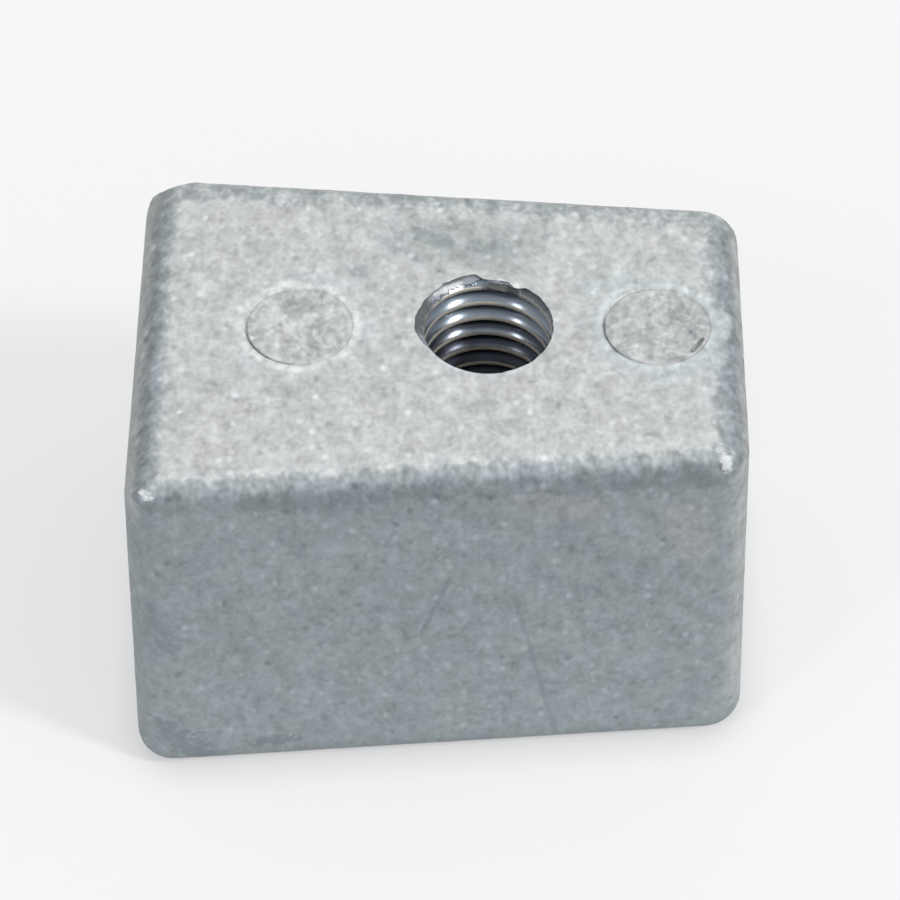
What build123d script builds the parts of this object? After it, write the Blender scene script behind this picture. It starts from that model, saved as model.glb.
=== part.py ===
"""Sacrificial anode: a drafted, wedge-shaped zinc block, cast in one piece and held by one tapped hole.

Millimetres. The origin is under the middle of the block, on the face it stands on. X runs along its
length, from the deep heel to the shallow toe, and Z points up, out of the tapped hole.
"""

from build123d import *
from math import isclose
import os

# The block, measured across its top, the mounting face that bolts up against the hull or bracket
face_length = 42.0
heel_depth = 31.4
toe_depth = 24.6
block_height = 28.6
draft_angle = 1.2  # degrees on all four walls, so that the casting left its die

# Rounding of the casting
wall_corner_radius = 2.7
face_edge_radius = 1.5
base_edge_radius = 2.0

# The hole and the ejector pins stand on one line, parallel to X and a little behind the middle
tooling_line_y = 0.3

# Blind hole, cored for an M10 x 1.5 thread
bore_x = 3.4
bore_diameter = 8.8
bore_depth = 20.0
core_tip_bevel = 1.2
mouth_break = 0.15

# Round sinks that the two ejector pins left in the mounting face
heel_mark_x = -9.6
toe_mark_x = 15.0
pin_mark_diameter = 7.6
pin_mark_depth = 0.15


def is_bore_rim(edge):
    """Tell the two circles that end the bore from the rims of the pin marks."""
    return isclose(edge.radius, bore_diameter / 2, rel_tol=1e-6)


with BuildPart() as anode_block:
    # The wedge stands straight up under the mounting face, then its walls lean out below that face.
    with BuildSketch() as wedge_plan:
        with BuildLine():
            Polyline(
                (-face_length / 2, -heel_depth / 2),
                (face_length / 2, -toe_depth / 2),
                (face_length / 2, toe_depth / 2),
                (-face_length / 2, heel_depth / 2),
                close=True,
            )
        make_face()
    extrude(amount=block_height)
    walls = anode_block.faces().filter_by(Axis.Z, reverse=True)
    draft(walls, neutral_plane=Plane.XY.offset(block_height), angle=draft_angle)

    # Of the three groups of edges, those at half height stand between the walls.
    fillet(anode_block.edges().group_by(Axis.Z)[1], wall_corner_radius)
    fillet(anode_block.faces().sort_by(Axis.Z)[-1].edges(), face_edge_radius)
    fillet(anode_block.faces().sort_by(Axis.Z)[0].edges(), base_edge_radius)

    # The core pin left a blind hole with a bevelled end; its mouth is broken by the tap's lead.
    with Locations((bore_x, tooling_line_y, block_height)):
        Hole(radius=bore_diameter / 2, depth=bore_depth)
    bore_rims = anode_block.edges().filter_by(GeomType.CIRCLE).filter_by(is_bore_rim).sort_by(Axis.Z)
    chamfer(bore_rims[0], core_tip_bevel)
    chamfer(bore_rims[-1], mouth_break)

    # Pin marks
    with BuildSketch(Plane.XY.offset(block_height)) as pin_marks:
        with Locations((heel_mark_x, tooling_line_y), (toe_mark_x, tooling_line_y)):
            Circle(pin_mark_diameter / 2)
    extrude(amount=-pin_mark_depth, mode=Mode.SUBTRACT)

anode_block.part.label = "anode_block"

os.makedirs("parts", exist_ok=True)
export_step(anode_block.part, "parts/anode_block.step")
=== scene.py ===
import bmesh
import bpy
from math import atan2, cos, degrees, pi, radians, sin, sqrt, tan
from mathutils import Matrix, Vector, noise


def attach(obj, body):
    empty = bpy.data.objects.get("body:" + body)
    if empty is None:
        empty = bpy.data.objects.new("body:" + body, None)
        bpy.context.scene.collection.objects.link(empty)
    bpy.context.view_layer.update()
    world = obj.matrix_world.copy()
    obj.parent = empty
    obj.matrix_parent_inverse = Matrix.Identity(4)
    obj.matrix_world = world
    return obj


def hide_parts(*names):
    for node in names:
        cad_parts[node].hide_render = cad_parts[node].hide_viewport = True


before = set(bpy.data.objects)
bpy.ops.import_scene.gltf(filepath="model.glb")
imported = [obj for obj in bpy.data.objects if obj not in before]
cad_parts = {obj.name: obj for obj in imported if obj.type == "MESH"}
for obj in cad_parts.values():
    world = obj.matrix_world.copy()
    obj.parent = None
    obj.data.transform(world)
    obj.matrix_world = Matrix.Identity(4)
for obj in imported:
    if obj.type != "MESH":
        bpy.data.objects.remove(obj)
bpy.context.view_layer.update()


# The casting. Zinc is poured into a drafted steel die, so the block is a wedge that is deep at its
# heel, shallow at its toe, and wider at its base than at the flat face that is bolted up.
# Its mesh is made in millimetres and brought to metres when it is whole.
MILLIMETRE = 0.001
FACE_LENGTH = 42.0
HEEL_DEPTH = 31.4
TOE_DEPTH = 24.6
BLOCK_HEIGHT = 28.6
DRAFT = radians(1.2)
CORNER_RADIUS = 2.7
FACE_EDGE_RADIUS = 1.45
BASE_EDGE_RADIUS = 2.0
SKIN_STEP = 0.32
SIDE_SLOPE = (HEEL_DEPTH - TOE_DEPTH) / 2 / FACE_LENGTH
SIDE_TURN = atan2(HEEL_DEPTH - TOE_DEPTH, 2 * FACE_LENGTH)


def half_depth(x, lean):
    """Half the block's depth at x, where its walls stand out by lean from the face's outline."""
    return (HEEL_DEPTH + TOE_DEPTH) / 4 - SIDE_SLOPE * x + lean / cos(SIDE_TURN)


def round_edges(blank, edges, radius, turn):
    """Round edges whose two faces turn by that angle, to a true radius."""
    bmesh.ops.bevel(
        blank, geom=edges, offset=radius * tan(turn / 2), offset_type="OFFSET", segments=10,
        profile=0.5, affect="EDGES", material=-1, clamp_overlap=False,
    )


def level_edges(blank, z):
    """The edges of the blank that lie at that height."""
    return [e for e in blank.edges if all(abs(v.co.z - z) < 1e-4 for v in e.verts)]


def settle(piece):
    """Make what a piece's modifiers give its own mesh."""
    finished = bpy.data.meshes.new_from_object(
        piece.evaluated_get(bpy.context.evaluated_depsgraph_get())
    )
    piece.modifiers.clear()
    piece.data = finished


def new_piece(name, shape):
    """An object with that bmesh as its mesh, in the scene."""
    mesh = bpy.data.meshes.new(name)
    shape.to_mesh(mesh)
    shape.free()
    piece = bpy.data.objects.new(name, mesh)
    bpy.context.scene.collection.objects.link(piece)
    return piece


blank = bmesh.new()
bmesh.ops.create_cube(blank, size=1.0)
for corner in blank.verts:
    lean = BLOCK_HEIGHT * tan(DRAFT) if corner.co.z < 0 else 0.0
    x = (FACE_LENGTH / 2 + lean) * (1 if corner.co.x > 0 else -1)
    y = half_depth(x, lean) * (1 if corner.co.y > 0 else -1)
    corner.co = (x, y, BLOCK_HEIGHT if corner.co.z > 0 else 0.0)
for end in (-1, 1):
    uprights = [
        e for e in blank.edges
        if all(v.co.x * end > 0 for v in e.verts) and abs(e.verts[0].co.z - e.verts[1].co.z) > 1
    ]
    round_edges(blank, uprights, CORNER_RADIUS, pi / 2 - end * SIDE_TURN)
round_edges(blank, level_edges(blank, BLOCK_HEIGHT), FACE_EDGE_RADIUS, pi / 2 - DRAFT)
round_edges(blank, level_edges(blank, 0.0), BASE_EDGE_RADIUS, pi / 2 + DRAFT)
anode = new_piece("cast_block", blank)
skin = anode.modifiers.new("even skin", "REMESH")
skin.mode = "VOXEL"
skin.voxel_size = SKIN_STEP
settle(anode)


# The skin of the casting. The metal shrank from the die as it froze, which left slow hollows, a
# pebbled skin and pits, and tumbling rubbed three edges round and knocked one corner flat.
# Each wall and the face: the way it faces, then a point on it
WALLS = {
    "heel": Vector((-cos(DRAFT), 0, sin(DRAFT))),
    "toe": Vector((cos(DRAFT), 0, sin(DRAFT))),
    "front": Vector((sin(SIDE_TURN) * cos(DRAFT), -cos(SIDE_TURN) * cos(DRAFT), sin(DRAFT))),
    "back": Vector((sin(SIDE_TURN) * cos(DRAFT), cos(SIDE_TURN) * cos(DRAFT), sin(DRAFT))),
    "face": Vector((0, 0, 1)),
}
WALL_POINTS = {
    "heel": Vector((-FACE_LENGTH / 2, 0, BLOCK_HEIGHT)),
    "toe": Vector((FACE_LENGTH / 2, 0, BLOCK_HEIGHT)),
    "front": Vector((0, -half_depth(0, 0), BLOCK_HEIGHT)),
    "back": Vector((0, half_depth(0, 0), BLOCK_HEIGHT)),
    "face": Vector((0, 0, BLOCK_HEIGHT)),
}
# Edges that tumbling has rounded further: the faces that meet there, and the radius
RUBBED = (
    ("heel", "face", 2.7),
    ("toe", "face", 1.7),
    ("front", "face", 1.7),
)
# Corners knocked flat: a point on the flat and the way it faces
KNOCKS = (
    ((-17.83, 14.75, 28.4), (-0.33, 0.75, 0.57)),
)
# Pits and dents: where they are, how wide, how deep and how much longer than wide along X
DENTS = (
    ((-18.15, -15.98, 4.1), 0.75, 0.16, 1.7),
    ((-12.0, -15.55, 2.6), 0.7, 0.13, 2.0),
    ((12.5, -13.55, 2.9), 0.4, 0.12, 1.2),
    ((14.7, -13.1, 14.9), 0.3, 0.14, 1.0),
    ((-6.8, -15.0, 6.3), 0.32, 0.12, 1.0),
    ((-19.0, 11.4, 28.4), 1.5, 0.14, 0.7),
)
# How much of what stands out past a knock is flattened
KNOCK_SHARE = 0.92
# Waves in the skin: how high, how many to a millimetre, and where their pattern starts
WAVES = (
    (0.018, 0.13, (0, 0, 0)),
    (0.020, 0.42, (7, 1, 3)),
    (0.030, 1.05, (2, 9, 4)),
)
PIT_DEPTH = 0.05
PITS_PER_MM = 0.45
PIT_WIDTH = 0.16
NIBBLE_DEPTH = 0.06


def ease(low, high, value):
    """0 below low, 1 above high, and smooth between."""
    t = min(1.0, max(0.0, (value - low) / (high - low)))
    return t * t * (3 - 2 * t)


def rub(point, first, second, radius):
    """Bring a point in to the radius that rubbing has left where two faces meet."""
    short = [radius - (WALL_POINTS[name] - point).dot(WALLS[name]) for name in (first, second)]
    reach = sqrt(short[0] ** 2 + short[1] ** 2)
    if min(short) > 0 and reach > radius:
        for name, s in zip((first, second), short):
            point -= WALLS[name] * (s - s * radius / reach)


def knock(point, centre, way):
    """Flatten what stands out past a knock."""
    way = Vector(way).normalized()
    point -= way * max(0.0, (point - Vector(centre)).dot(way)) * KNOCK_SHARE


def cast_hollow(point):
    """How far the cast skin lies under the true surface, in millimetres."""
    hollow = 0.0
    for height, pace, start in WAVES:
        hollow += height * (0.5 + 0.5 * noise.noise(point * pace + Vector(start)))
    nearest = noise.voronoi(point * PITS_PER_MM + Vector((4, 4, 8)))[0][0]
    return hollow + PIT_DEPTH * max(0.0, 1 - nearest / PIT_WIDTH)


def dent_depth(point):
    """How deep the knocks and pits are at a point."""
    deep = 0.0
    for place, width, depth, stretch in DENTS:
        away = point - Vector(place)
        far = sqrt((away.x / stretch) ** 2 + away.y ** 2 + away.z ** 2) / width
        far = max(0.0, far + 0.35 * noise.noise(point * 1.7))
        deep += depth * max(0.0, 1 - far * far) ** 1.5
    return deep


skinned = bmesh.new()
skinned.from_mesh(anode.data)
for vert in skinned.verts:
    for first, second, radius in RUBBED:
        rub(vert.co, first, second, radius)
    for centre, way in KNOCKS:
        knock(vert.co, centre, way)
skinned.normal_update()
for vert in skinned.verts:
    edge = max(0.0, 1 - abs(vert.normal.z - 0.55) / 0.4)
    nibbled = NIBBLE_DEPTH * edge * (0.5 + 0.5 * noise.noise(vert.co * 1.6 + Vector((5, 5, 5))))
    vert.co -= vert.normal * (cast_hollow(vert.co) + nibbled + dent_depth(vert.co))
for face in skinned.faces:
    face.smooth = True
skinned.to_mesh(anode.data)
skinned.free()


# The ejector marks. Two pins pushed the casting out of its die, and each left a shallow round sink
# in the face, with a fine flash line round it.
TOOLING_LINE = 0.3
# Each mark's X, the way its flash line is deepest and its painted shadow darkest, how much, and the
# colour of the bloom round it
MARKS = (
    (-9.6, 222.0, 0.10, (0.88, 0.91, 0.90, 1)),
    (15.0, 205.0, 0.08, (0.74, 0.81, 0.83, 1)),
)
MARK_RADIUS = 3.8
MARK_SINK = 0.08
GROOVE_RADIUS = 3.64


def pin_end(cutter, centre, deep_side, groove):
    """Spin the end of an ejector pin, standing in the face, with its flash line deepest at one side."""
    profile = [
        (0.0, -MARK_SINK), (0.6, -MARK_SINK), (1.2, -MARK_SINK), (1.8, -MARK_SINK),
        (2.4, -MARK_SINK), (3.0, -MARK_SINK), (3.3, -MARK_SINK), (3.48, -MARK_SINK + 0.02),
        (3.56, -MARK_SINK), (GROOVE_RADIUS, -MARK_SINK - 0.03), (3.72, -MARK_SINK), (MARK_RADIUS, 0.05),
        (MARK_RADIUS, 0.8), (0.0, 0.8),
    ]
    ring = [cutter.verts.new((centre + r, TOOLING_LINE, BLOCK_HEIGHT + z)) for r, z in profile]
    line = [cutter.edges.new(pair) for pair in zip(ring, ring[1:])]
    bmesh.ops.spin(
        cutter, geom=ring + line, cent=(centre, TOOLING_LINE, 0), axis=(0, 0, 1),
        angle=2 * pi, steps=96, use_merge=True, use_duplicate=False,
    )
    bmesh.ops.remove_doubles(cutter, verts=cutter.verts, dist=1e-4)
    for vert in cutter.verts:
        away = Vector((vert.co.x - centre, vert.co.y - TOOLING_LINE))
        if away.length > MARK_RADIUS + 0.1 or vert.co.z > BLOCK_HEIGHT - 0.05:
            continue
        vert.co.z += 0.05 * noise.noise(vert.co * 0.9 + Vector((centre, 0, 0)))
        side = cos(atan2(away.y, away.x) - radians(deep_side))
        if abs(away.length - GROOVE_RADIUS) < 0.05:
            vert.co.z -= groove * max(0.0, side) ** 2


pins = bmesh.new()
for centre, deep_side, groove, _ in MARKS:
    pin_end(pins, centre, deep_side, groove)
bmesh.ops.recalc_face_normals(pins, faces=pins.faces)
# A gouge beside the flash line of the mark near the toe
gouge = bmesh.new()
bmesh.ops.create_icosphere(gouge, subdivisions=3, radius=1.0)
bmesh.ops.scale(gouge, vec=(0.85, 0.17, 0.30), verts=gouge.verts)
bmesh.ops.rotate(gouge, cent=(0, 0, 0), matrix=Matrix.Rotation(radians(56), 3, "Z"), verts=gouge.verts)
bmesh.ops.translate(gouge, vec=(17.75, -1.48, BLOCK_HEIGHT - 0.1), verts=gouge.verts)


# The tapped hole. A core left a blind hole and a tap cut a right-hand thread down it. The face
# breaks into the first turn, where the metal has torn out on one side and rolled in on the other.
BORE = Vector((3.4, TOOLING_LINE, BLOCK_HEIGHT))
CREST_RADIUS = 4.4
ROOT_RADIUS = 5.12
PITCH = 1.5
TURN_STEPS = 120
TURNS = 15
THREAD_START_DEPTH = 2.33 + 12 * PITCH
BORE_DEPTH = 20.0
BORE_END_BEVEL = 1.2
THREAD_FADE = (14.5, 18.0)
# The mouth: how deep the damage goes and how wide the rim is broken
MOUTH_DEPTH = 1.3
RIM_BREAK = 0.17
# Round the mouth, in degrees: the metal tore out between two ragged ends, is notched at the first of
# them, and rolled in on the other side
TEAR_STARTS = (94, 100)
TEAR_ENDS = (178, 212)
TEAR_REACH = 0.72
NOTCHED = (98, 124)
ROLLED = (-75, 97)
ROLLED_RADIUS = 4.50


def within(band, value, soft):
    """1 inside a band of angles, falling to 0 over soft degrees outside it."""
    return ease(band[0] - soft, band[0] + soft, value) * (1 - ease(band[1] - soft, band[1] + soft, value))


# Curls of metal that hang into the mouth: the angle, half its width, from what depth to what, how far
CURLS = ((63, 8, -0.6, 0.30, 0.34), (78, 13, 0.12, 0.85, 0.30))


def mouth_radius(radius, turn, depth):
    """The radius of the hole near its mouth, where the first turn has torn and rolled."""
    ragged = noise.noise(Vector((turn / 11, depth * 2, 2))) + 0.35 * noise.noise(Vector((turn / 4, 0, 9)))
    below = max(0.0, depth)
    radius = max(radius, CREST_RADIUS + RIM_BREAK - below + 0.04 * ragged)
    torn = ease(*TEAR_STARTS, turn) * (1 - ease(*TEAR_ENDS, turn))
    notched = 0.20 * noise.noise(Vector((turn / 3.2, 4, 4))) * within(NOTCHED, turn, 4)
    reach = TEAR_REACH + 0.16 * ragged + notched
    lip = CREST_RADIUS + reach * max(0.0, 1 - below / (0.42 + 0.1 * ragged))
    radius = radius + torn * (max(radius, lip) - radius)
    rolled = within(ROLLED, turn, 4) * (1 - ease(0.14, 0.42, below))
    roof = ROLLED_RADIUS + 0.07 * ragged
    radius = radius + rolled * (min(radius, roof) - radius)
    for middle, half, top, bottom, hang in CURLS:
        curl = max(0.0, 1 - ((turn - middle) / half) ** 2) * ease(top - 0.08, top + 0.08, depth)
        radius -= hang * curl * (1 - ease(bottom - 0.2, bottom + 0.1, depth)) * (1 + 0.5 * ragged)
    return radius


tap = bmesh.new()
profile = [
    (0.0, 0.0), (0.10, 0.0), (0.19, 0.09), (0.33, 0.28), (0.485, 0.55), (0.62, 0.85), (0.69, 1.0),
    (0.81, 1.0), (0.88, 0.85), (1.015, 0.55), (1.17, 0.28), (1.31, 0.09), (1.40, 0.0), (PITCH, 0.0),
]
start = BLOCK_HEIGHT - THREAD_START_DEPTH
ring = [
    tap.verts.new((BORE.x, BORE.y + CREST_RADIUS + cut * (ROOT_RADIUS - CREST_RADIUS), start + rise))
    for rise, cut in profile
]
line = [tap.edges.new(pair) for pair in zip(ring, ring[1:])]
bmesh.ops.spin(
    tap, geom=ring + line, cent=BORE, axis=(0, 0, 1), dvec=(0, 0, PITCH / TURN_STEPS),
    angle=TURNS * 2 * pi, steps=TURNS * TURN_STEPS, use_duplicate=False,
)
bmesh.ops.remove_doubles(tap, verts=tap.verts, dist=1e-3)
for height, side in ((BLOCK_HEIGHT + 0.75, 1), (BLOCK_HEIGHT - BORE_DEPTH + BORE_END_BEVEL, -1)):
    bmesh.ops.bisect_plane(
        tap, geom=tap.verts[:] + tap.edges[:] + tap.faces[:], dist=1e-5,
        plane_co=(0, 0, height), plane_no=(0, 0, side), clear_outer=True,
    )
near_mouth = [
    e for e in tap.edges
    if all(-0.4 < BLOCK_HEIGHT - v.co.z < MOUTH_DEPTH + 0.05 for v in e.verts)
]
bmesh.ops.subdivide_edges(tap, edges=near_mouth, cuts=1, use_grid_fill=True)
for vert in tap.verts:
    away = Vector((vert.co.x - BORE.x, vert.co.y - BORE.y))
    depth = BLOCK_HEIGHT - vert.co.z
    turn = degrees(atan2(away.y, away.x))
    turn = turn + 360 if turn < -120 else turn
    radius = CREST_RADIUS + (away.length - CREST_RADIUS) * (1 - ease(*THREAD_FADE, depth))
    if depth < MOUTH_DEPTH:
        radius = mouth_radius(radius, turn, depth)
    away *= radius / away.length
    vert.co.x = BORE.x + away.x
    vert.co.y = BORE.y + away.y
low_rim = [e for e in tap.edges if e.is_boundary and e.verts[0].co.z < BLOCK_HEIGHT - 5]
end_ring = bmesh.ops.extrude_edge_only(tap, edges=low_rim)["geom"]
for vert in [g for g in end_ring if isinstance(g, bmesh.types.BMVert)]:
    inward = (CREST_RADIUS - BORE_END_BEVEL) / CREST_RADIUS
    vert.co = (
        BORE.x + (vert.co.x - BORE.x) * inward,
        BORE.y + (vert.co.y - BORE.y) * inward,
        vert.co.z - BORE_END_BEVEL,
    )
bmesh.ops.holes_fill(tap, edges=[e for e in tap.edges if e.is_boundary], sides=0)
bmesh.ops.recalc_face_normals(tap, faces=tap.faces)
tap.normal_update()


def cut_away(block, cutter):
    """Cut a closed shape out of the block."""
    cut = block.modifiers.new("cut", "BOOLEAN")
    cut.operation = "DIFFERENCE"
    cut.solver = "EXACT"
    cut.material_mode = "TRANSFER"
    cut.object = cutter
    settle(block)
    bpy.data.objects.remove(cutter)


cast_zinc = bpy.data.materials.new("cast_zinc")
cut_thread = bpy.data.materials.new("cut_thread")
anode.data.materials.append(cast_zinc)
pin_cutter = new_piece("pin_ends", pins)
pin_cutter.data.materials.append(cast_zinc)
gouge_cutter = new_piece("gouge", gouge)
gouge_cutter.data.materials.append(cast_zinc)
tap_cutter = new_piece("tap", tap)
tap_cutter.data.materials.append(cut_thread)
cut_away(anode, pin_cutter)
cut_away(anode, gouge_cutter)
cut_away(anode, tap_cutter)
anode.data.transform(Matrix.Scale(MILLIMETRE, 4))
anode.data.shade_smooth()
anode.data.set_sharp_from_angle(angle=radians(38))


# The finish of the casting. Bare zinc weathers to a blue grey, the face carries a pale bloom of oxide,
# and the rubbed edges are darker slate. Part of the face's paleness is painted light from above, and part
# of the edges' dark band is a painted dark reflection.
def bare_tree(material):
    """A material's node tree, emptied."""
    material.use_nodes = True
    material.node_tree.nodes.clear()
    return material.node_tree


def place(tree, kind, inputs=None, **settings):
    """Add a node, set it up, and give each input, by name or number, its value or its wire."""
    made = tree.nodes.new(kind)
    for name, value in settings.items():
        setattr(made, name, value)
    for name, value in (inputs or {}).items():
        socket = made.inputs[name]
        if isinstance(value, bpy.types.NodeSocket):
            tree.links.new(value, socket)
        else:
            socket.default_value = value
    return made


def shader_group(name, takes, gives):
    """A node group with these named inputs and outputs, and its two end nodes."""
    tree = bpy.data.node_groups.new(name, "ShaderNodeTree")
    for label, kind, value in takes:
        socket = tree.interface.new_socket(label, in_out="INPUT", socket_type="NodeSocket" + kind)
        if kind != "Vector":
            socket.default_value = value
    for label, kind in gives:
        tree.interface.new_socket(label, in_out="OUTPUT", socket_type="NodeSocket" + kind)
    return tree, tree.nodes.new("NodeGroupInput").outputs, tree.nodes.new("NodeGroupOutput").inputs


def maths(tree, operation, a, b=0.0):
    """One Math node's value."""
    return place(tree, "ShaderNodeMath", {0: a, 1: b}, operation=operation).outputs[0]


def spread(tree, value, low, high, to_low=0.0, to_high=1.0):
    """A smooth ramp of a value, from one range to another."""
    return place(
        tree, "ShaderNodeMapRange",
        {"Value": value, "From Min": low, "From Max": high, "To Min": to_low, "To Max": to_high},
        interpolation_type="SMOOTHSTEP",
    ).outputs[0]


def blend(tree, share, first, second, blend_type="MIX"):
    """A colour part of the way from the first to the second."""
    return place(
        tree, "ShaderNodeMix", {0: share, 6: first, 7: second}, data_type="RGBA", blend_type=blend_type
    ).outputs[2]


def noise_value(tree, vector, scale, detail=3.0, roughness=0.6, distortion=0.0):
    """The value of a noise texture whose scale is per millimetre."""
    return place(tree, "ShaderNodeTexNoise", {
        "Vector": vector, "Scale": scale, "Detail": detail, "Roughness": roughness,
        "Distortion": distortion,
    }).outputs["Fac"]


def vectors(tree, operation, a, b=(0, 0, 0), output=0):
    """One Vector Math node's result."""
    return place(tree, "ShaderNodeVectorMath", {0: a, 1: b}, operation=operation).outputs[output]


# Grain: mottles of several sizes, curling creases, patches, round specks both pale and dark, and veins
grain, takes, gives = shader_group(
    "Cast grain",
    [("Place", "Vector", None), ("Mottles per mm", "Float", 0.75), ("Specks per mm", "Float", 1.1)],
    [("Grain", "Float"), ("Crease", "Float"), ("Patch", "Float"), ("Speck", "Float"), ("Vein", "Float")],
)
upright = vectors(grain, "MULTIPLY", takes["Place"], (1.0, 0.84, 0.80))
mottles = noise_value(grain, upright, takes["Mottles per mm"], 2.2, 1.0, 0.15)
grain.links.new(mottles, gives["Grain"])
elsewhere = vectors(grain, "ADD", upright, (31, 17, 5))
curl = maths(grain, "MULTIPLY", noise_value(grain, elsewhere, 0.60, 2.0, 0.7, 0.2), 24.0)
grain.links.new(maths(grain, "SINE", curl), gives["Crease"])
grain.links.new(spread(grain, noise_value(grain, elsewhere, 0.34, 2.0), 0.35, 0.65), gives["Patch"])
cells = place(grain, "ShaderNodeTexVoronoi", {"Vector": elsewhere, "Scale": takes["Specks per mm"]})
dot = spread(grain, cells.outputs["Distance"], 0.42, 0.06)
lot = place(grain, "ShaderNodeSeparateColor", {0: cells.outputs["Color"]}).outputs[0]
speck = maths(grain, "MULTIPLY", dot, maths(grain, "MULTIPLY", maths(grain, "SUBTRACT", lot, 0.42), 2.0))
grain.links.new(speck, gives["Speck"])
vein = maths(grain, "SUBTRACT", noise_value(grain, elsewhere, 0.42, 1.5, 0.6, 1.6), 0.5)
grain.links.new(spread(grain, maths(grain, "ABSOLUTE", vein), 0.05, 0.0), gives["Vein"])

# A ring round an upright line, such as the bloom round an ejector mark
ring_group, takes, gives = shader_group(
    "Ring on the face",
    [("Place", "Vector", None), ("X", "Float", 0.0), ("Y", "Float", 0.0), ("Radius", "Float", 1.0),
     ("Half width", "Float", 0.3), ("Ragged", "Float", 0.0)],
    [("Ring", "Float"), ("Inside", "Float")],
)
axis = place(ring_group, "ShaderNodeCombineXYZ", {"X": takes["X"], "Y": takes["Y"]}).outputs[0]
across = vectors(ring_group, "MULTIPLY", vectors(ring_group, "SUBTRACT", takes["Place"], axis), (1, 1, 0))
off = vectors(ring_group, "LENGTH", across, output="Value")
off = maths(ring_group, "SUBTRACT", off, takes["Radius"])
frayed = maths(ring_group, "SUBTRACT", noise_value(ring_group, takes["Place"], 1.2, 3.0, 0.6, 0.3), 0.5)
off = maths(ring_group, "ADD", off, maths(ring_group, "MULTIPLY", frayed, takes["Ragged"]))
off = maths(ring_group, "DIVIDE", off, takes["Half width"])
ring_group.links.new(spread(ring_group, maths(ring_group, "ABSOLUTE", off), 1.0, 0.0), gives["Ring"])
ring_group.links.new(spread(ring_group, off, 0.5, -0.5), gives["Inside"])

# A ragged stroke from one point to another, for stains, tints, dark marks, painted shade and painted
# glints
stroke_group, takes, gives = shader_group(
    "Stroke on the skin",
    [("Place", "Vector", None), ("From", "Vector", None), ("To", "Vector", None),
     ("Half width", "Float", 0.5), ("Ragged", "Float", 0.5)],
    [("Stroke", "Float")],
)
along = vectors(stroke_group, "SUBTRACT", takes["To"], takes["From"])
reach = vectors(stroke_group, "SUBTRACT", takes["Place"], takes["From"])
share = vectors(stroke_group, "DOT_PRODUCT", reach, along, "Value")
share = maths(stroke_group, "DIVIDE", share, vectors(stroke_group, "DOT_PRODUCT", along, along, "Value"))
share = place(stroke_group, "ShaderNodeClamp", {"Value": share}).outputs[0]
nearest = place(
    stroke_group, "ShaderNodeVectorMath", {"Vector": along, "Scale": share}, operation="SCALE"
).outputs[0]
gap = vectors(stroke_group, "LENGTH", vectors(stroke_group, "SUBTRACT", reach, nearest), output="Value")
gap = maths(stroke_group, "DIVIDE", gap, takes["Half width"])
frayed = noise_value(stroke_group, takes["Place"], 0.9, 4.5, 0.9, 0.3)
frayed = maths(stroke_group, "SUBTRACT", frayed, 0.5)
gap = maths(stroke_group, "ADD", gap, maths(stroke_group, "MULTIPLY", frayed, takes["Ragged"]))
stroke_group.links.new(spread(stroke_group, gap, 1.15, 0.35), gives["Stroke"])


def fit_group(tree, group, inputs):
    """Place a shader group in a material, with its own values, and return its outputs."""
    return place(tree, "ShaderNodeGroup", inputs, node_tree=group).outputs


def ring_round(tree, vector, x, radius, half_width, ragged=0.0):
    """The ring round the hole or the mark that stands on the tooling line at that X."""
    return fit_group(tree, ring_group, {
        "Place": vector, "X": x, "Y": TOOLING_LINE, "Radius": radius, "Half width": half_width,
        "Ragged": ragged,
    })


def millimetre_place(tree):
    """Each point's own place on the piece, in millimetres."""
    own_place = place(tree, "ShaderNodeTexCoord").outputs["Object"]
    return place(
        tree, "ShaderNodeMapping", {"Vector": own_place, "Scale": (1 / MILLIMETRE,) * 3}
    ).outputs[0]


def signed(tree, value, gain):
    """A 0 to 1 value as a swing either way of nothing."""
    return maths(tree, "MULTIPLY", maths(tree, "SUBTRACT", value, 0.5), gain)


def strokes(tree, vector, rows):
    """All the strokes of one colour, as one mask."""
    mask = 0.0
    for start, end, half_width, ragged, strength in rows:
        stroke = fit_group(tree, stroke_group, {
            "Place": vector, "From": start, "To": end, "Half width": half_width, "Ragged": ragged,
        })["Stroke"]
        mask = maths(tree, "MAXIMUM", maths(tree, "MULTIPLY", stroke, strength), mask)
    return mask


def on_front(x, z):
    """The point of the front wall at that x and height."""
    return (x, -half_depth(x, (BLOCK_HEIGHT - z) * tan(DRAFT)), z)


# The skin's colour over the edge of the face, partly painted light: the face painted paler as if lit from
# above, the dark band a painted dark reflection over rubbed zinc. How far over, from 0 on the face and 1
# at the darkest of the edge band, to the wall
EDGE_TONES_AND_PAINTED_LIGHT = (
    (0.00, (0.672, 0.684, 0.676, 1)),
    (0.12, (0.566, 0.596, 0.600, 1)),
    (0.26, (0.452, 0.492, 0.506, 1)),
    (0.40, (0.390, 0.431, 0.449, 1)),
    (0.56, (0.318, 0.358, 0.379, 1)),
    (0.71, (0.258, 0.296, 0.315, 1)),
    (0.86, (0.241, 0.273, 0.287, 1)),
    (1.00, (0.227, 0.259, 0.272, 1)),
    (1.15, (0.238, 0.270, 0.284, 1)),
    (1.40, (0.256, 0.290, 0.303, 1)),
    (1.80, (0.272, 0.306, 0.319, 1)),
    (2.20, (0.278, 0.314, 0.329, 1)),
)
# The colour ramp runs from 0 to 1, so how far over is taken times this
RAMP_SHARE = 0.4
# How far over the edge band, rubbed and painted with a dark reflection, is darkest
EDGE_MIDDLE = 1.05
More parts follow.
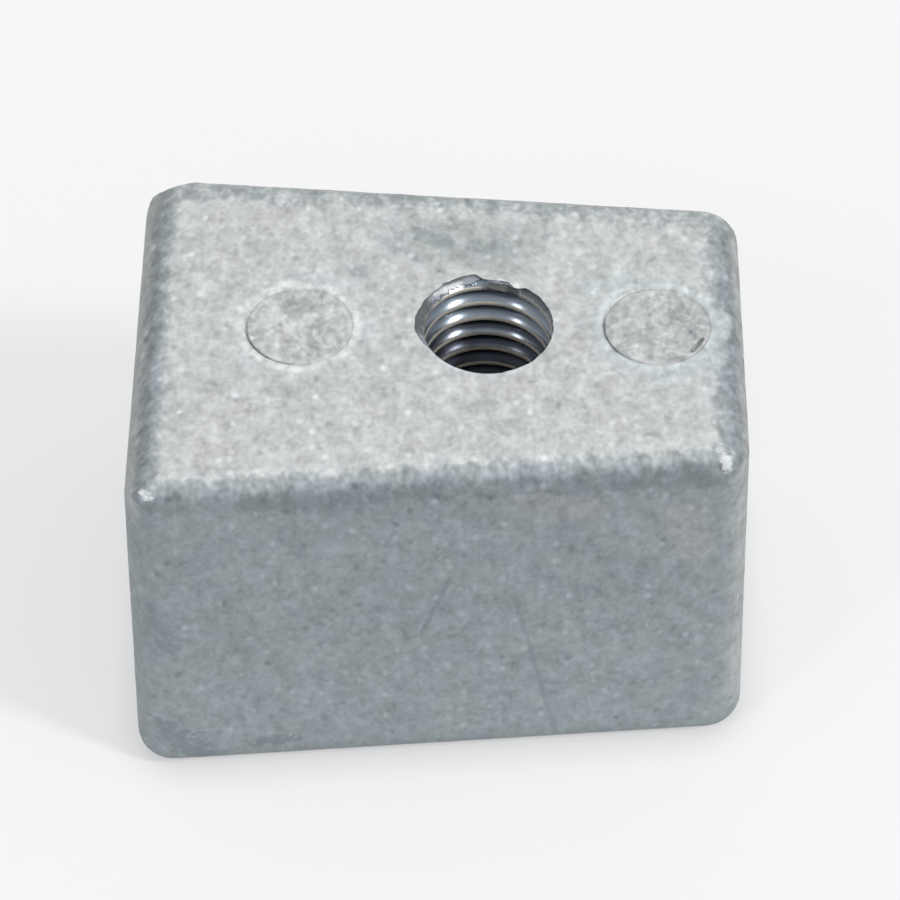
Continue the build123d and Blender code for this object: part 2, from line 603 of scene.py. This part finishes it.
# Each edge's fade, in millimetres of fall less millimetres in from the wall: its start, and its width
EDGE_FADES = (("front", -1.6, 2.86), ("heel", -2.5, 2.55), ("toe", -2.65, 3.3), ("back", -2.6, 6.0))
PALE_OXIDE = (0.80, 0.83, 0.84, 1)
# The dark of pores and marks, also used for painted shade
DARK_PORE_AND_SHADE = (0.17, 0.20, 0.22, 1)
MARK_GREY = (0.640, 0.653, 0.645, 1)
MARK_SHADE = (0.582, 0.597, 0.592, 1)
BLUE_STAIN = (0.30, 0.35, 0.365, 1)
HAZE = (0.66, 0.72, 0.73, 1)
PINK_TINT = (0.372, 0.360, 0.367, 1)
# The colour of the painted sheen at glancing angles
PAINTED_SLANT_SHEEN = (0.670, 0.645, 0.610, 1)
BLUE_PATCH = (0.998, 0.992, 1.018, 1)
GREEN_PATCH = (0.992, 1.006, 0.988, 1)
# The pale colour of the painted glints
PAINTED_GLINT_WHITE = (0.93, 0.95, 0.96, 1)
RIM_BLUE = (0.76, 0.84, 0.88, 1)
# Strokes of one colour each, in millimetres: from, to, half width, how ragged, and how strong
STAINS = (
    ((-1.4, 9.3, 28.6), (0.4, 8.3, 28.6), 1.15, 1.6, 0.66),
    ((2.6, 8.0, 28.6), (4.6, 7.6, 28.6), 1.10, 1.6, 0.62),
    ((-0.6, 7.4, 28.6), (4.6, 6.6, 28.6), 1.5, 1.6, 0.42),
    ((-2.0, 9.0, 28.6), (6.0, 8.8, 28.6), 2.2, 1.8, 0.36),
    ((-19.6, 10.9, 28.4), (-19.3, 9.6, 28.5), 0.8, 1.6, 0.60),
    ((-5.7, 5.6, 28.6), (-5.2, 5.4, 28.6), 0.6, 1.4, 0.40),
)
HAZES = (
    ((10.6, 3.9, 28.6), (13.0, 5.2, 28.6), 0.9, 1.4, 0.8),
    ((19.3, 1.2, 28.6), (18.6, -3.4, 28.6), 1.0, 1.4, 0.7),
    ((15.0, -4.6, 28.6), (17.4, -3.9, 28.6), 0.8, 1.4, 0.6),
)
TINTS = (
    (on_front(6.0, 25.8), on_front(10.6, 24.8), 1.3, 2.0, 0.32),
    (on_front(16.4, 23.4), on_front(17.4, 20.4), 1.7, 1.2, 0.50),
    ((20.9, -11.6, 22.0), (21.3, -12.0, 5.0), 0.8, 1.6, 0.30),
    ((-20.2, 12.2, 28.0), (-17.8, 13.4, 28.3), 0.8, 2.2, 0.45),
)
# Mostly painted highlights: glints on the corners, on the burr at the hole's rim and along the front
# edge; the last is a bright streak across the mark near the heel
GLINTS = (
    ((-19.5, -14.7, 28.0), (-19.0, -14.8, 27.9), 0.40, 3.2, 0.85),
    ((-16.6, -14.6, 27.7), (-16.4, -14.6, 27.7), 0.26, 1.6, 0.55),
    ((19.1, -11.2, 28.3), (19.7, -12.5, 27.8), 0.55, 4.6, 0.54),
    ((4.25, 4.72, 28.6), (4.5, 4.62, 28.6), 0.22, 1.0, 0.9),
    ((5.0, 4.30, 28.6), (5.5, 3.95, 28.6), 0.20, 1.2, 0.9),
    ((-17.0, -13.6, 28.5), (0.0, -12.2, 28.5), 0.42, 3.2, 0.16),
    ((0.0, -12.2, 28.5), (18.0, -10.8, 28.5), 0.38, 3.2, 0.13),
    ((-11.1, 1.37, 28.5), (-8.8, -2.2, 28.5), 0.20, 1.8, 0.35),
)
# Dark marks: patches, flow lines and spots, with painted shade in the dents and in the gouge by the mark
# near the toe
DARK_MARKS_AND_PIT_SHADE = (
    (on_front(8.5, 27.1), on_front(18.2, 26.9), 0.7, 7.0, 0.45),
    (on_front(-13.0, 27.0), on_front(-2.0, 27.1), 0.7, 7.0, 0.42),
    (on_front(-19.2, 4.6), on_front(-16.8, 1.6), 1.2, 8.0, 0.55),
    (on_front(-12.6, 2.4), on_front(-10.6, 2.7), 0.6, 7.0, 0.60),
    (on_front(-19.7, 17.0), on_front(-18.8, 13.6), 0.8, 7.0, 0.45),
    ((-20.0, 12.0, 28.2), (-17.6, 13.2, 28.5), 0.6, 3.2, 0.25),
    ((-10.8, 3.3, 28.5), (-9.0, 2.3, 28.5), 0.7, 2.4, 0.22),
    (on_front(5.2, 16.6), on_front(8.2, 2.0), 0.23, 1.4, 0.34),
    (on_front(0.8, 18.7), on_front(-1.2, 13.1), 0.26, 1.6, 0.50),
    (on_front(-18.3, 4.2), on_front(-17.7, 4.1), 0.30, 0.8, 0.7),
    (on_front(-12.4, 2.6), on_front(-11.6, 2.6), 0.26, 0.8, 0.6),
    (on_front(14.7, 14.9), on_front(14.75, 14.85), 0.20, 0.5, 0.8),
    (on_front(-6.8, 6.3), on_front(-6.75, 6.25), 0.22, 0.5, 0.7),
    (on_front(12.5, 2.9), on_front(12.6, 2.8), 0.24, 0.5, 0.7),
    ((16.3, 1.8, 28.5), (17.5, -0.4, 28.5), 0.75, 6.0, 0.36),
    ((17.3, -0.25, 28.5), (17.3, -0.15, 28.5), 0.24, 0.5, 0.7),
    ((17.4, -2.0, 28.5), (18.1, -0.95, 28.5), 0.20, 0.5, 0.8),
)
tree = bare_tree(cast_zinc)
place_mm = millimetre_place(tree)
skin_grain = fit_group(tree, grain, {"Place": place_mm})
over = -10.0
for name, start, width in EDGE_FADES:
    fall = (WALLS[name] - WALLS["face"]) / width
    begin = (BLOCK_HEIGHT - WALLS[name].dot(WALL_POINTS[name]) - start) / width
    side = maths(tree, "ADD", vectors(tree, "DOT_PRODUCT", place_mm, fall, "Value"), begin)
    over = maths(tree, "MAXIMUM", side, over)
on_face = spread(tree, over, 0.5, 0.0)
wander = maths(tree, "MULTIPLY", signed(tree, skin_grain["Grain"], 0.65), spread(tree, over, 1.1, 0.6))
over = maths(tree, "SUBTRACT", over, wander)
# The ramp paints the face paler and the edge band darker: partly oxide and rubbing, partly painted light
# and a painted dark reflection
ramp = place(tree, "ShaderNodeValToRGB", {"Fac": maths(tree, "MULTIPLY", over, RAMP_SHARE)})
stops = ramp.color_ramp.elements
while len(stops) < len(EDGE_TONES_AND_PAINTED_LIGHT):
    stops.new(0.5)
for stop, (at, tone) in zip(stops, EDGE_TONES_AND_PAINTED_LIGHT):
    stop.position = at * RAMP_SHARE
    stop.color = tone
colour = blend(tree, strokes(tree, place_mm, STAINS), ramp.outputs["Color"], BLUE_STAIN)
colour = blend(tree, strokes(tree, place_mm, HAZES), colour, HAZE)
colour = blend(tree, strokes(tree, place_mm, TINTS), colour, PINK_TINT)
colour = blend(tree, 1.0, colour, blend(tree, skin_grain["Patch"], BLUE_PATCH, GREEN_PATCH), "MULTIPLY")
# Grain is strongest along the rubbed edge
off_edge = maths(tree, "ABSOLUTE", maths(tree, "SUBTRACT", over, EDGE_MIDDLE))
grain_gain = spread(tree, off_edge, 0.1, 0.6, 1.5, 1.1)
speck_gain = spread(tree, off_edge, 0.1, 0.6, 0.42, 0.30)
# Ejector marks, with their veins, the groove of their flash line, darkest on one side as a painted shadow
# of the sunk disc's rim, and the bloom of oxide round them
for centre, deep_side, _, bloom in MARKS:
    disc = ring_round(tree, place_mm, centre, 3.70, 0.25)
    in_disc = maths(tree, "MULTIPLY", disc["Inside"], on_face)
    colour = blend(tree, in_disc, colour, blend(tree, skin_grain["Patch"], MARK_GREY, MARK_SHADE))
    grain_gain = maths(tree, "ADD", maths(tree, "MULTIPLY", in_disc, 0.5), grain_gain)
    away = vectors(tree, "SUBTRACT", place_mm, (centre, TOOLING_LINE, BLOCK_HEIGHT))
    turned = (cos(radians(deep_side)) / MARK_RADIUS, sin(radians(deep_side)) / MARK_RADIUS, 0)
    sided = spread(tree, vectors(tree, "DOT_PRODUCT", away, turned, "Value"), 0.45, 0.95)
    wide = ring_round(tree, place_mm, centre, 4.4, 1.3, 1.8)
    wide = maths(tree, "MULTIPLY", wide["Ring"], maths(tree, "SUBTRACT", on_face, in_disc))
    colour = blend(tree, maths(tree, "MULTIPLY", wide, 0.34), colour, HAZE)
    near = ring_round(tree, place_mm, centre, 4.05, 0.55, 0.7)
    near = maths(tree, "MULTIPLY", near["Ring"], maths(tree, "SUBTRACT", on_face, in_disc))
    near = maths(tree, "MULTIPLY", near, maths(tree, "ADD", maths(tree, "MULTIPLY", sided, 0.35), 0.62))
    colour = blend(tree, near, colour, bloom)
    vein = maths(tree, "MULTIPLY", maths(tree, "MULTIPLY", in_disc, skin_grain["Vein"]), 0.3)
    colour = blend(tree, vein, colour, PALE_OXIDE)
    # The flash line's dark ring: the groove's own dark line, and a painted shadow strongest on the deep
    # side
    flash = ring_round(tree, place_mm, centre, GROOVE_RADIUS, 0.20, 0.25)
    depth = maths(tree, "ADD", maths(tree, "MULTIPLY", sided, 0.5), 0.12)
    colour = blend(tree, maths(tree, "MULTIPLY", flash["Ring"], depth), colour, DARK_PORE_AND_SHADE)
# The pale line round the front of the hole's rim
side = vectors(tree, "DOT_PRODUCT", vectors(tree, "SUBTRACT", place_mm, BORE), (-0.3, -0.95, 0), "Value")
rim = ring_round(tree, place_mm, BORE.x, CREST_RADIUS + 0.27, 0.20, 0.2)
rim = maths(tree, "MULTIPLY", maths(tree, "MULTIPLY", rim["Ring"], spread(tree, side, 2.0, 4.0)), 0.7)
colour = blend(tree, rim, colour, RIM_BLUE)
# A painted sheen: the colour turns paler and warmer where the surface is seen at a glancing angle, round
# the face and up the corner at the toe, standing in for the reflection of the pale table and backdrop
axes = place(tree, "ShaderNodeSeparateXYZ", {0: place_mm}).outputs
above = spread(tree, axes[2], 1.0, 4.0)
toeward = maths(tree, "MULTIPLY", spread(tree, axes[0], 5.0, 15.0, 0.0, 0.6), above)
toeward = maths(tree, "MAXIMUM", spread(tree, axes[2], 24.5, 27.5), toeward)
painted_sheen = place(tree, "ShaderNodeLayerWeight", {"Blend": 0.5}).outputs["Facing"]
painted_sheen = maths(tree, "MULTIPLY", spread(tree, painted_sheen, 0.36, 0.64, 0.0, 0.32), toeward)
colour = blend(tree, painted_sheen, colour, PAINTED_SLANT_SHEEN)
# Grain over everything, on a skin a little paler low down, with a painted contact shade along the foot
# where it stands
swing = maths(tree, "MULTIPLY", signed(tree, skin_grain["Grain"], 1.0), grain_gain)
swing = maths(tree, "ADD", maths(tree, "MULTIPLY", skin_grain["Crease"], 0.022), swing)
swing = maths(tree, "ADD", maths(tree, "MULTIPLY", skin_grain["Speck"], speck_gain), swing)
tone = maths(tree, "ADD", spread(tree, axes[2], 18.0, 0.0, 1.0, 1.12), swing)
# Painted contact shade along the foot
tone = maths(tree, "MULTIPLY", tone, spread(tree, axes[2], 0.8, 3.0, 0.87, 1.0))
tone_colour = place(tree, "ShaderNodeCombineColor", {0: tone, 1: tone, 2: tone}).outputs[0]
colour = blend(tree, 1.0, colour, tone_colour, "MULTIPLY")
# Painted glints, as a pale colour
colour = blend(tree, strokes(tree, place_mm, GLINTS), colour, PAINTED_GLINT_WHITE)
# Dark marks, and painted shade in the dents and the gouge
colour = blend(tree, strokes(tree, place_mm, DARK_MARKS_AND_PIT_SHADE), colour, DARK_PORE_AND_SHADE)
relief = maths(tree, "ADD", maths(tree, "MULTIPLY", skin_grain["Speck"], 0.25), skin_grain["Grain"])
bump = place(tree, "ShaderNodeBump", {"Height": relief, "Strength": 0.8, "Distance": 0.00013})
rough = spread(tree, skin_grain["Grain"], 0.3, 0.7, 0.50, 0.66)
surface = place(tree, "ShaderNodeBsdfPrincipled", {
    "Base Color": colour, "Metallic": 0.30, "Roughness": rough, "Normal": bump.outputs[0],
})
place(tree, "ShaderNodeOutputMaterial", {"Surface": surface.outputs[0]})

# The cut thread: bright metal at the crests and dull torn metal at the mouth. The roots under each crest
# are painted dark as painted shade, the roots and flanks are painted darker down the hole where less
# light reaches, and the crests deep down are painted paler as a painted highlight.
CREST_BEIGE = (0.84, 0.79, 0.70, 1)
FLANK_STEEL = (0.31, 0.36, 0.41, 1)
ROOT_SLATE = (0.21, 0.25, 0.30, 1)
DEEP_DARK = (0.050, 0.055, 0.075, 1)
DEEP_CREST = (1.0, 0.93, 0.82, 1)
TORN_PALE = (0.34, 0.37, 0.42, 1)
TORN_DARK_AND_SHADE = (0.105, 0.112, 0.117, 1)
# Painted shade at the mouth: under the hanging curls, on the rolled-in side, in the gap below the torn
# lip and along the broken rim. Strokes: from, to, half width, how ragged, and how strong
MOUTH_DARKS = (
    ((3.4, 4.5, 27.95), (5.2, 4.3, 27.85), 0.62, 0.8, 0.95),
    ((5.9, 4.0, 28.3), (7.4, 2.6, 28.3), 0.80, 0.8, 0.85),
    ((7.4, 2.6, 28.3), (8.0, 0.3, 28.2), 0.70, 0.8, 0.75),
    ((7.6, 2.2, 27.2), (7.85, 0.9, 26.6), 0.60, 0.8, 0.6),
    ((-1.2, 2.5, 28.2), (-1.7, 0.4, 28.3), 1.00, 1.2, 0.9),
    ((0.4, 4.5, 28.6), (1.9, 5.2, 28.6), 0.30, 2.2, 0.85),
    ((1.9, 5.2, 28.6), (3.4, 5.3, 28.5), 0.30, 2.2, 0.7),
)
# Painted highlights on the torn lip of the mouth, as a pale colour: from, to, half width, how ragged, and
# how strong
MOUTH_GLINTS = (
    ((0.45, 3.95, 28.25), (1.45, 4.45, 28.25), 0.40, 0.8, 0.8),
    ((-0.3, 3.5, 28.35), (0.5, 4.1, 28.32), 0.25, 1.4, 0.55),
)
tree = bare_tree(cut_thread)
place_mm = millimetre_place(tree)
height_mm = place(tree, "ShaderNodeSeparateXYZ", {0: place_mm}).outputs[2]
thread_grain = fit_group(tree, grain, {"Place": place_mm, "Mottles per mm": 1.2})
crest = ring_round(tree, place_mm, BORE.x, CREST_RADIUS + 0.045, 0.05, 0.05)["Inside"]
lit_part = spread(tree, height_mm, BLOCK_HEIGHT - 7.0, BLOCK_HEIGHT - 2.5, 0.12, 0.24)
flank_radius = maths(tree, "ADD", lit_part, CREST_RADIUS)
flank = ring_round(tree, place_mm, BORE.x, flank_radius, 0.30, 0.12)["Inside"]
# Painted shade down the hole, with the deep crests painted paler as a painted highlight
deep = spread(tree, height_mm, BLOCK_HEIGHT - 2.5, BLOCK_HEIGHT - 5.5)
deeper = spread(tree, height_mm, BLOCK_HEIGHT - 5.5, BLOCK_HEIGHT - 9.0)
root = blend(tree, deep, ROOT_SLATE, DEEP_DARK)
colour = blend(tree, flank, root, blend(tree, deeper, FLANK_STEEL, DEEP_DARK))
colour = blend(tree, crest, colour, blend(tree, deeper, CREST_BEIGE, DEEP_CREST))
ragged_depth = maths(tree, "ADD", height_mm, signed(tree, thread_grain["Grain"], 0.8))
torn = spread(tree, ragged_depth, BLOCK_HEIGHT - 0.45, BLOCK_HEIGHT - 0.25)
rim = spread(tree, ragged_depth, BLOCK_HEIGHT - 0.16, BLOCK_HEIGHT - 0.06)
mottled = spread(tree, maths(tree, "ADD", thread_grain["Grain"], signed(tree, rim, -0.2)), 0.36, 0.56)
torn_colour = blend(tree, mottled, TORN_DARK_AND_SHADE, TORN_PALE)
colour = blend(tree, torn, colour, torn_colour)
# The mask of painted shade at the mouth
shade = strokes(tree, place_mm, MOUTH_DARKS)
shine = strokes(tree, place_mm, MOUTH_GLINTS)
# Painted shade, then painted highlights, over the thread's colour
colour = blend(tree, shine, blend(tree, shade, colour, TORN_DARK_AND_SHADE), PAINTED_GLINT_WHITE)
dull = maths(tree, "MAXIMUM", maths(tree, "MAXIMUM", maths(tree, "MULTIPLY", crest, 0.5), torn), shade)
rough = maths(tree, "ADD", maths(tree, "MULTIPLY", deeper, 0.2), spread(tree, dull, 0.0, 1.0, 0.22, 0.60))
bump = place(tree, "ShaderNodeBump", {
    "Height": maths(tree, "MULTIPLY", thread_grain["Grain"], torn), "Strength": 0.8, "Distance": 0.0002,
})
surface = place(tree, "ShaderNodeBsdfPrincipled", {
    "Base Color": colour, "Metallic": spread(tree, dull, 0.0, 1.0, 0.82, 0.15), "Roughness": rough,
    "Normal": bump.outputs[0],
})
place(tree, "ShaderNodeOutputMaterial", {"Surface": surface.outputs[0]})

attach(anode, "root")
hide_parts("anode_block")


# The stage: a plain pale table, matt, that half glows to the camera, with a painted contact shadow where
# the glow dims close round the casting, two tall soft lamps at the sides under an even pale sky, and the
# camera.
table = bmesh.new()
bmesh.ops.create_grid(table, x_segments=1, y_segments=1, size=2.0)
table_top = new_piece("table_top", table)
table_paint = bpy.data.materials.new("table_paint")
tree = bare_tree(table_paint)
matt = place(tree, "ShaderNodeBsdfDiffuse", {"Color": (0.935, 0.935, 0.94, 1)})
# The glow dims close round the casting: a painted contact shadow on the table
open_sky = place(tree, "ShaderNodeAmbientOcclusion", {"Distance": 0.0036}).outputs["AO"]
glow = place(tree, "ShaderNodeEmission", {
    "Color": (1.0, 0.998, 1.0, 1), "Strength": spread(tree, open_sky, 0.4, 1.0, 0.80, 1.0),
})
seen = place(tree, "ShaderNodeLightPath").outputs["Is Camera Ray"]
shown = place(tree, "ShaderNodeMixShader", {
    0: maths(tree, "MULTIPLY", seen, 0.50), 1: matt.outputs[0], 2: glow.outputs[0],
})
place(tree, "ShaderNodeOutputMaterial", {"Surface": shown.outputs[0]})
table_top.data.materials.append(table_paint)

# Each lamp: its name, azimuth, elevation, how far away it stands, width, height, watts and tint
LAMPS = (
    ("lamp_right", -26.5, 39.5, 1.2, 0.16, 0.32, 5.4, (1.0, 0.99, 0.97)),
    ("lamp_left", 225.5, 38, 1.2, 0.14, 0.32, 1.5, (1.0, 0.99, 0.98)),
)
TARGET = Vector((0, 0, 0.015))
for name, azimuth, elevation, reach, wide, tall, power, tint in LAMPS:
    soft_box = bpy.data.lights.new(name, "AREA")
    soft_box.shape = "RECTANGLE"
    soft_box.size = wide
    soft_box.size_y = tall
    soft_box.energy = power
    soft_box.color = tint
    stand = bpy.data.objects.new(name, soft_box)
    bpy.context.scene.collection.objects.link(stand)
    a, e = radians(azimuth), radians(elevation)
    stand.location = TARGET + reach * Vector((cos(e) * cos(a), cos(e) * sin(a), sin(e)))
    stand.rotation_euler = (TARGET - stand.location).to_track_quat("-Z", "Y").to_euler()

world = bpy.data.worlds.new("studio")
bpy.context.scene.world = world
world.use_nodes = True
sky = world.node_tree.nodes["Background"].inputs
sky["Color"].default_value = (0.97, 0.985, 1.0, 1)
sky["Strength"].default_value = 0.655

lens = bpy.data.cameras.new("camera")
lens.sensor_width = 36.0
lens.lens = 164.0
lens.clip_start = 0.02
camera = bpy.data.objects.new("camera", lens)
bpy.context.scene.collection.objects.link(camera)
# Where the camera stands, in millimetres, and its three axes
EYE = Vector((3.0806, -196.6859, 230.5165))
RIGHT = Vector((0.999966, 0.006357, -0.005199))
UP = Vector((-0.001166, 0.736645, 0.676279))
BACK = Vector((0.008129, -0.676250, 0.736628))
turned = Matrix((RIGHT, UP, BACK)).transposed().to_4x4()
camera.matrix_world = Matrix.Translation(EYE * MILLIMETRE) @ turned
bpy.context.scene.camera = camera
bpy.context.scene.view_settings.view_transform = "Standard"
